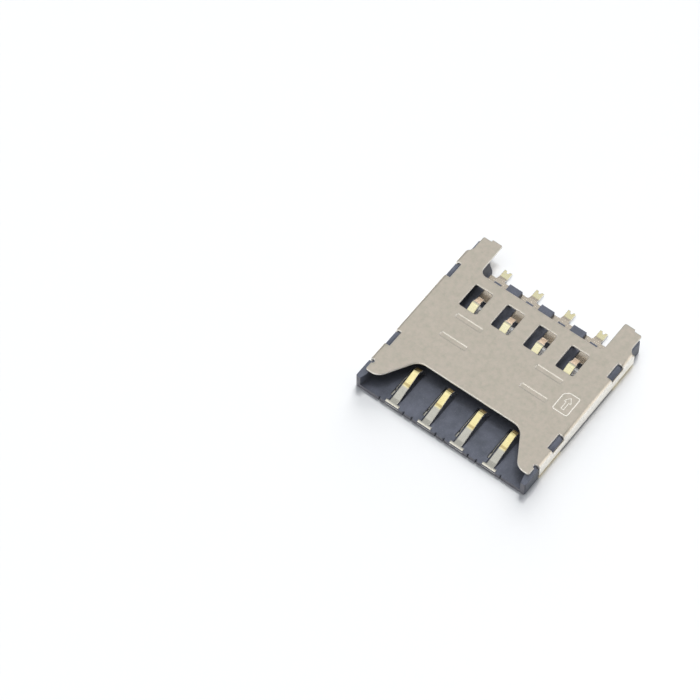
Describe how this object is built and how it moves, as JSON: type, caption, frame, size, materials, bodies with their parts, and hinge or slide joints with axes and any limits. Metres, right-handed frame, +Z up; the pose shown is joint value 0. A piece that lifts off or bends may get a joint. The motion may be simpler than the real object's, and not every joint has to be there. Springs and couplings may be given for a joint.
{
  "type": "sim card socket",
  "caption": "Flat push-pull card socket: a moulded housing with spring terminals under a folded metal shell with soldered feet, open at the front for a small card.",
  "frame": {"origin": "middle of the socket's outline, on the board plane", "axes": "+X across the socket to its right seen from the mouth, +Y the way the card goes in, +Z up from the board"},
  "size_m": [0.0132, 0.0136, 0.0014],
  "materials": {
    "housing": "matte blue-black moulded polymer",
    "shell": "satin nickel-plated sheet, pale gold on the folded feet",
    "contact": "nickel-plated copper alloy strip with gold-plated contact points and tails"
  },
  "bodies": {
    "root": {"housing": "housing", "shell": "shell", "front_contact_1": "contact", "front_contact_2": "contact", "front_contact_3": "contact", "front_contact_4": "contact", "rear_contact_1": "contact", "rear_contact_2": "contact", "rear_contact_3": "contact", "rear_contact_4": "contact"}
  },
  "joints": []
}
